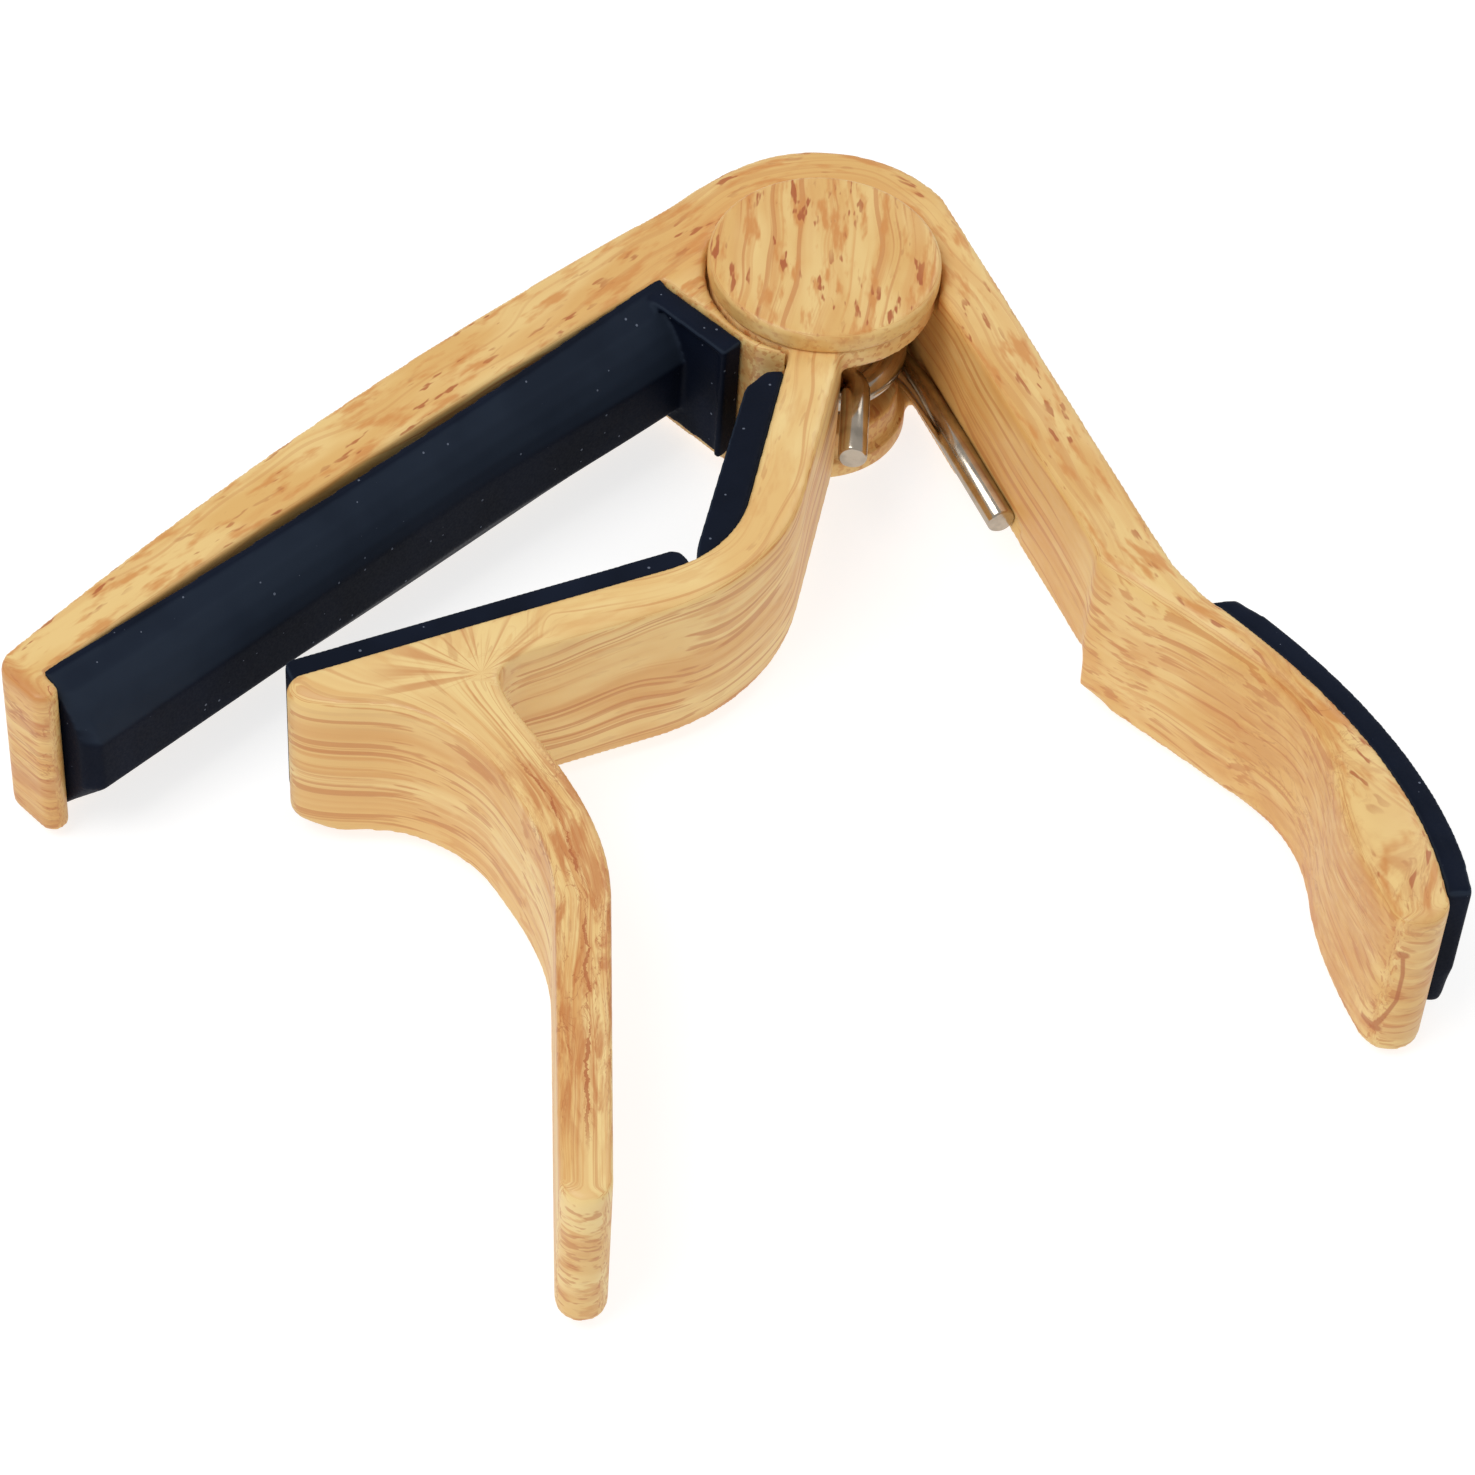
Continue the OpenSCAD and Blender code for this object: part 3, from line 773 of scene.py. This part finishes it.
def make_lever(material):
    obj = softened("lever_arm", "lever_cast", LEVER_VOXEL, LEVER_PASSES)
    u, v, finger = lever_grain(coords(obj.data))
    shape_cradle_end(obj)
    co = coords(obj.data)
    on_top = smoothstep(co[:, 2], *LEVER_TOP_Z)
    store(obj, "grain", u, v, co[:, 2])
    store(obj, "mottle", finger * on_top)
    store_fan(obj, co, on_top * (1 - finger))
    settle(obj, material, "lever", "lever_arm")


# ---- hinge cap ----

CAP_EDGE_R, CAP_DIP, CAP_LEAN = 0.55, 0.05, 0.12


def make_cap(material):
    edge, top, recess = CAP_EDGE_R, TOP_Z + CAP_T, TOP_Z + CAP_RECESS_T
    profile = [(0, recess), (CAP_RECESS_R, recess), (CAP_RECESS_R, TOP_Z)]
    profile += [(r, TOP_Z) for r in (5.5, 7.2, CAP_R - 0.3)]
    profile += [(CAP_R - 0.08, TOP_Z + 0.09), (CAP_R, TOP_Z + 0.3), (CAP_R, TOP_Z + 0.8)]
    profile += [tuple(p) for p in arc((CAP_R - edge, top - edge), edge, 0, 90, 10)]
    # the top dips very slightly inside the rim
    profile += [(7.9, top), (7.2, top - 0.8 * CAP_DIP)]
    profile += [(r, top - CAP_DIP) for r in (4.5, 2.0, 0)]
    obj = revolve("hinge_cap_cast", profile)
    co = coords(obj.data)
    store(obj, "grain", co[:, 1] + CAP_LEAN * co[:, 0], co[:, 0], co[:, 2])
    settle(obj, material, "frame", "hinge_cap")


# ---- torsion spring ----

WIRE_SIDES, WIRE_CHAMFER = 28, 0.16
WIRE_BEND_STEPS, COIL_STEPS = 14, 180


def spring_path():
    """From the leg on the handle, nearly twice round, to the leg on the strap."""
    coil_a0 = HANDLE_ANGLE + 90
    sweep = 720 + BEND_START_A - coil_a0
    turn = ((LEG_TURN_S, LEG_N), (4, LEG_N), (2.5, COIL_R), (0.3, COIL_R))
    leg = [(LEG_S, LEG_N)] + bezier(*turn, WIRE_BEND_STEPS)
    path = [(*at(HANDLE_ANGLE, s, n), HANDLE_LEG_Z) for s, n in leg]
    for t in np.linspace(0, 1, COIL_STEPS + 1):
        height = HANDLE_LEG_Z + (STRAP_LEG_Z - HANDLE_LEG_Z) * t
        path.append((*(COIL_R * unit(coil_a0 + sweep * t)), height))
    centre = (COIL_R + BEND_WIRE_R) * unit(BEND_START_A)
    path += [(*p, STRAP_LEG_Z) for p in arc(centre, BEND_WIRE_R, 90, 0, WIRE_BEND_STEPS)[1:]]
    path.append((centre[0] + BEND_WIRE_R, -STRAP_LEG_S, STRAP_LEG_Z))
    return [Vector(p) for p in path]


def make_spring(material):
    """Round wire swept along the spring's path, with slightly chamfered cut ends."""
    path, chamfer = spring_path(), WIRE_CHAMFER
    first = (path[1] - path[0]).normalized()
    last = (path[-1] - path[-2]).normalized()
    path = [path[0], path[0] + first * chamfer] + path[1:-1] + [path[-1] - last * chamfer, path[-1]]
    radii = [WIRE_R - chamfer] + [WIRE_R] * (len(path) - 2) + [WIRE_R - chamfer]
    angles = [2 * math.pi * k / WIRE_SIDES for k in range(WIRE_SIDES)]
    rings = []
    for i, (p, r) in enumerate(zip(path, radii)):
        d = (path[min(i + 1, len(path) - 1)] - path[max(i - 1, 0)]).normalized()
        side = d.cross(Vector((0, 0, 1))).normalized()
        up = side.cross(d)
        rings.append([tuple(p + r * (math.cos(a) * side + math.sin(a) * up)) for a in angles])
    obj = loft("torsion_spring_wire", rings)
    shade_smooth(obj)
    for f in obj.data.polygons:
        if len(f.vertices) > 4:
            f.use_smooth = False
    give(obj, material)
    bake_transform(obj)
    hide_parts("torsion_spring")


# ---- pads ----

PAD_VOXEL, PAD_PASSES, STRING_PAD_PASSES = 0.20, 10, 7
CROWN_N, CROWN_THROAT_N, CROWN_HALF, CROWN_FADE_S = -4.7, -3.7, 2.4, 34.0
BULGE, BULGE_RISE = 0.5, 0.6
SEAT_BITE, PAD_TOP_Z = 0.35, 15.2
END_EASE, END_SLOPE = 1.0, 1.1
FLANGE_T, FLANGE_END, FLANGE_Z0 = 2.0, 0.7, 3.4
RIM_W, RIM_T = 0.55, 0.45
GRIP_PAD_START, GRIP_PAD_TIP, GRIP_PAD_LOW = (41.5, 44.0), (68.5, 70.5), (3.5, 6.5)
GRIP_PAD_PASSES = 220


def seat_n(s):
    """The pad seat's distance from the hinge axis, along the bar."""
    t = (s - THROAT_S) / (BAR_LEN - LIP_T - THROAT_S)
    return -SEAT_THROAT + (SEAT_THROAT - SEAT_LIP) * t + SEAT_BOW * 4 * t * (1 - t)


def string_pad_ring(s, end):
    """The pad's section at s: a flat crown between two slopes, the upper one bulged."""
    mid, seat = (PAD_Z0 + PAD_Z1) / 2, seat_n(s)
    crown = CROWN_N + (CROWN_THROAT_N - CROWN_N) * (1 - smoothstep(s, THROAT_S, CROWN_FADE_S))
    crown -= END_SLOPE * max(0.0, s - (end - END_EASE))
    low, high = np.array([seat + 0.5, PAD_Z1]), np.array([crown, mid + CROWN_HALF])
    ring = [(seat - SEAT_BITE, PAD_Z0), (seat - SEAT_BITE, PAD_TOP_Z), (seat + 0.2, PAD_TOP_Z), low]
    for t in (0.25, 0.5, 0.75):
        bulge = BULGE * 4 * t * (1 - t)
        ring.append(low + (high - low) * t + np.array([bulge, bulge * BULGE_RISE]))
    ring += [high, (crown, mid - CROWN_HALF), (seat + 0.6, PAD_Z0)]
    return [(*at(BAR_ANGLE, s, n), z) for n, z in ring]


def make_string_pad(material):
    """The crowned pad along the bar, and its rimmed flange at the throat."""
    end = BAR_LEN - LIP_T
    stations = [*np.linspace(THROAT_S, end - END_EASE, 40), end - END_EASE / 2, end]
    s0 = THROAT_S + 0.03
    web, full = (s0, s0 + FLANGE_T - RIM_T), (s0, s0 + FLANGE_T)
    n, z = (-SEAT_THROAT, FLANGE_END), (FLANGE_Z0, PAD_Z1)
    parts = [
        loft("pad_body", [string_pad_ring(s, end) for s in stations]),
        box_solid("flange", BAR_ANGLE, web, n, z),
        box_solid("rim_top", BAR_ANGLE, full, n, (PAD_Z1 - RIM_W, PAD_Z1)),
        box_solid("rim_end", BAR_ANGLE, full, (FLANGE_END - RIM_W, FLANGE_END), z),
    ]
    obj = smoothed(remeshed(joined(parts, "string_pad_silicone"), PAD_VOXEL), STRING_PAD_PASSES)
    settle(obj, material, "frame", "string_pad")


def make_pad(node, material):
    obj = softened(node, node + "_silicone", PAD_VOXEL, PAD_PASSES)
    settle(obj, material, "lever", node)


def make_grip_pad(material):
    """The grip's pad has rounded ends, and its lower corner at the tip is rounded furthest."""
    obj = softened("grip_pad", "grip_pad_silicone", PAD_VOXEL, PAD_PASSES)
    co = coords(obj.data)
    sh, _ = local(co[:, :2], HANDLE_ANGLE)
    start = 1 - smoothstep(sh, *GRIP_PAD_START)
    tip = smoothstep(sh, *GRIP_PAD_TIP)
    low = 1 - smoothstep(co[:, 2], *GRIP_PAD_LOW)
    smoothed(obj, GRIP_PAD_PASSES, 0.3 * start + tip * (0.1 + 0.9 * low))
    settle(obj, material, "frame", "grip_pad")


# ---- stage, light and camera ----

WHITE = (1, 1, 1, 1)
FLOOR_HALF, FLOOR_DROP = 900, 0.02
FLOOR_GREYS = linear(168, 168, 168), linear(174, 174, 174)
# the floor looks brighter than the light it gives, so that the object keeps its own shading
FLOOR_GIVES, FLOOR_LOOKS = 0.60, 0.76
SKY = 0.50
# each light's name, place, target and width in metres, and its power in watts
LIGHTS = (
    ("key", (-0.35, -0.25, 0.75), (0, -0.04, 0), 0.5, 2.7),
    ("rim", (0.3, 0.45, 0.5), (0, -0.03, 0), 0.35, 0.7),
)
CAMERA_PLACE = (-0.0040, -0.2702, 0.2717)  # in metres
CAMERA_DOWN, CAMERA_ROLL = 49.07, 4.18
LENS, SENSOR = 117.6, 36.0


def make_floor():
    corners = [(FLOOR_HALF * x, FLOOR_HALF * y, 0) for x, y in ((-1, -1), (1, -1), (1, 1), (-1, 1))]
    floor = mesh_from("floor", corners, [(0, 1, 2, 3)])
    floor.location.z = -FLOOR_DROP * 0.001
    m = Shader("pale_floor")
    patches = m.noise(m.scaled(m.position(), (0.01,) * 3), 2.0)
    m.surface(base_color=m.mix(patches, *FLOOR_GREYS), roughness=0.9, specular_ior_level=0.0)
    seen = m.node("ShaderNodeLightPath").outputs["Is Camera Ray"]
    glow = m.ramp(seen, 0.0, 1.0, FLOOR_GIVES, FLOOR_LOOKS)
    m.surface(emission_color=WHITE, emission_strength=glow)
    floor.data.materials.append(m.material)


def make_lights():
    world = bpy.data.worlds.new("soft_studio")
    bpy.context.scene.world = world
    world.use_nodes = True
    world.node_tree.nodes["Background"].inputs["Color"].default_value = WHITE
    world.node_tree.nodes["Background"].inputs["Strength"].default_value = SKY
    for name, place, target, width, power in LIGHTS:
        data = bpy.data.lights.new(name, "AREA")
        data.shape = "DISK"
        data.size = width
        data.energy = power
        obj = new_object(name, data)
        obj.location = place
        obj.rotation_euler = (Vector(target) - Vector(place)).to_track_quat("-Z", "Y").to_euler()


def make_camera():
    """The hinge is on the side far from the camera, which looks down and is rolled a little."""
    down, roll = math.radians(CAMERA_DOWN), math.radians(CAMERA_ROLL)
    sin_d, cos_d, sin_r, cos_r = math.sin(down), math.cos(down), math.sin(roll), math.cos(roll)
    right = Vector((cos_r, sin_r * sin_d, sin_r * cos_d))
    up = Vector((-sin_r, cos_r * sin_d, cos_r * cos_d))
    back = Vector((0, -cos_d, sin_d))
    data = bpy.data.cameras.new("camera")
    data.sensor_width = SENSOR
    data.lens = LENS
    data.clip_start = 0.01
    cam = new_object("camera", data)
    axes = Matrix((right, up, back)).transposed().to_4x4()
    cam.matrix_world = Matrix.Translation(CAMERA_PLACE) @ axes
    bpy.context.scene.camera = cam


# ---- build ----

arm_film = wood_film("wood_film_arms", 0.95, 0.45, 1.0)
lever_film = wood_film("wood_film_lever", 1.0, 0.75, 0.3, (LIGHT_TAN, LIGHT_PALE))
cap_film = wood_film("wood_film_cap", 0.5, 1.0, 1.1)
pad_black = silicone("silicone_black")
nickel = scratched_steel("nickel_wire", linear(196, 184, 168), 0.12, 0.22)
turned = scratched_steel("turned_steel", linear(190, 190, 192), 0.25, 0.45)

make_string_arm(arm_film)
make_lever(lever_film)
make_cap(cap_film)
make_spring(nickel)
make_string_pad(pad_black)
make_pad("throat_pad", pad_black)
make_pad("cradle_pad", pad_black)
make_grip_pad(pad_black)
for node in ("pivot_pin", "upper_washer", "lower_washer"):
    NODES[node].data.materials.clear()
    NODES[node].data.materials.append(turned)

make_floor()
make_lights()
make_camera()
bpy.context.scene.view_settings.view_transform = "Standard"
